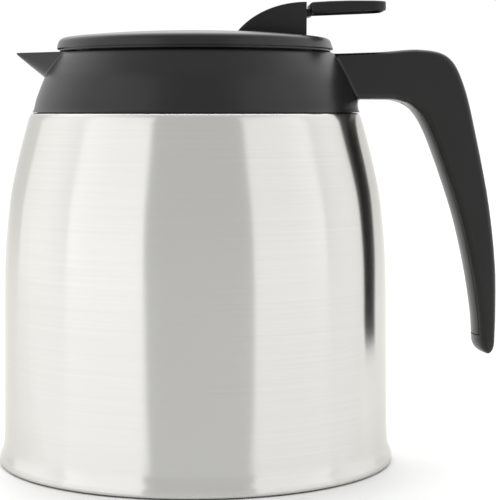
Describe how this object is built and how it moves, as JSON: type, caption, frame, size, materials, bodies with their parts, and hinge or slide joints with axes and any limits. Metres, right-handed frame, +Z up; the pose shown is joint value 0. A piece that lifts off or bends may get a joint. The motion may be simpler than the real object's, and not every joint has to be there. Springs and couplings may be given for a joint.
{
  "type": "insulated coffee jug",
  "caption": "Double-walled steel coffee jug with a dark plastic collar, pouring lip, open-ended handle and a screw lid with a thumb lever that lifts the pouring valve.",
  "frame": {"origin": "centre of the flat underside of the base pad, on the axis of the round body", "axes": "+Z up along the body's axis, +X from the body's axis towards the handle, -X towards the pouring lip"},
  "size_m": [0.1887, 0.15, 0.1737],
  "materials": {
    "brushed_steel": "fine horizontal brushing, satin",
    "inner_steel": "bright, drawn",
    "fastener_steel": "bright",
    "black_plastic": "fine-grained satin moulding",
    "lever_plastic": "fine-grained satin moulding, darker",
    "black_rubber": "matt",
    "silicone": "smooth, slightly cloudy"
  },
  "bodies": {
    "jug": {"outer_shell": "brushed_steel", "inner_vessel": "inner_steel", "base_plate": "inner_steel", "vacuum_getter": "fastener_steel", "evacuation_seal": "fastener_steel", "base_pad": "black_rubber", "collar": "black_plastic", "neck_gasket": "silicone", "neck_ring": "black_plastic", "handle_shell": "black_plastic", "handle_inner_cover": "black_plastic", "handle_screw_left": "fastener_steel", "handle_screw_right": "fastener_steel"},
    "lid_seal": {"lid_gasket": "silicone"},
    "lid": {"lid_cover": "black_plastic", "lid_base": "black_plastic", "lever_housing": "lever_plastic", "housing_screw_left": "fastener_steel", "housing_screw_right": "fastener_steel", "lever_pin": "fastener_steel"},
    "lever": {"thumb_lever": "lever_plastic"},
    "valve": {"valve_stem": "black_plastic", "valve_seal": "silicone", "valve_spring": "fastener_steel"}
  },
  "joints": [
    {"name": "lid_rise", "type": "slide", "parent": "jug", "child": "lid_seal", "axis": [0, 0, 1], "range_m": [0, 0.0302]},
    {"name": "lid_turn", "type": "hinge", "parent": "lid_seal", "child": "lid", "pos_m": [0, 0, 0.1552], "axis": [0, 0, 1], "range_deg": [0, 300]},
    {"name": "lever_press", "type": "hinge", "parent": "lid", "child": "lever", "pos_m": [0.0335, 0, 0.1635], "axis": [0, 1, 0], "range_deg": [0, 12], "stiffness_Nm_per_rad": 0.4, "springref_deg": -11.46},
    {"name": "valve_lift", "type": "slide", "parent": "lid", "child": "valve", "axis": [0, 0, 1], "range_m": [0, 0.0076], "deforming": ["valve_spring"]}
  ],
  "couplings": [
    {"joint": "lid_rise", "follows": "lid_turn", "m_per_rad": 0.0057296},
    {"joint": "valve_lift", "follows": "lever_press", "m_per_rad": 0.036}
  ]
}
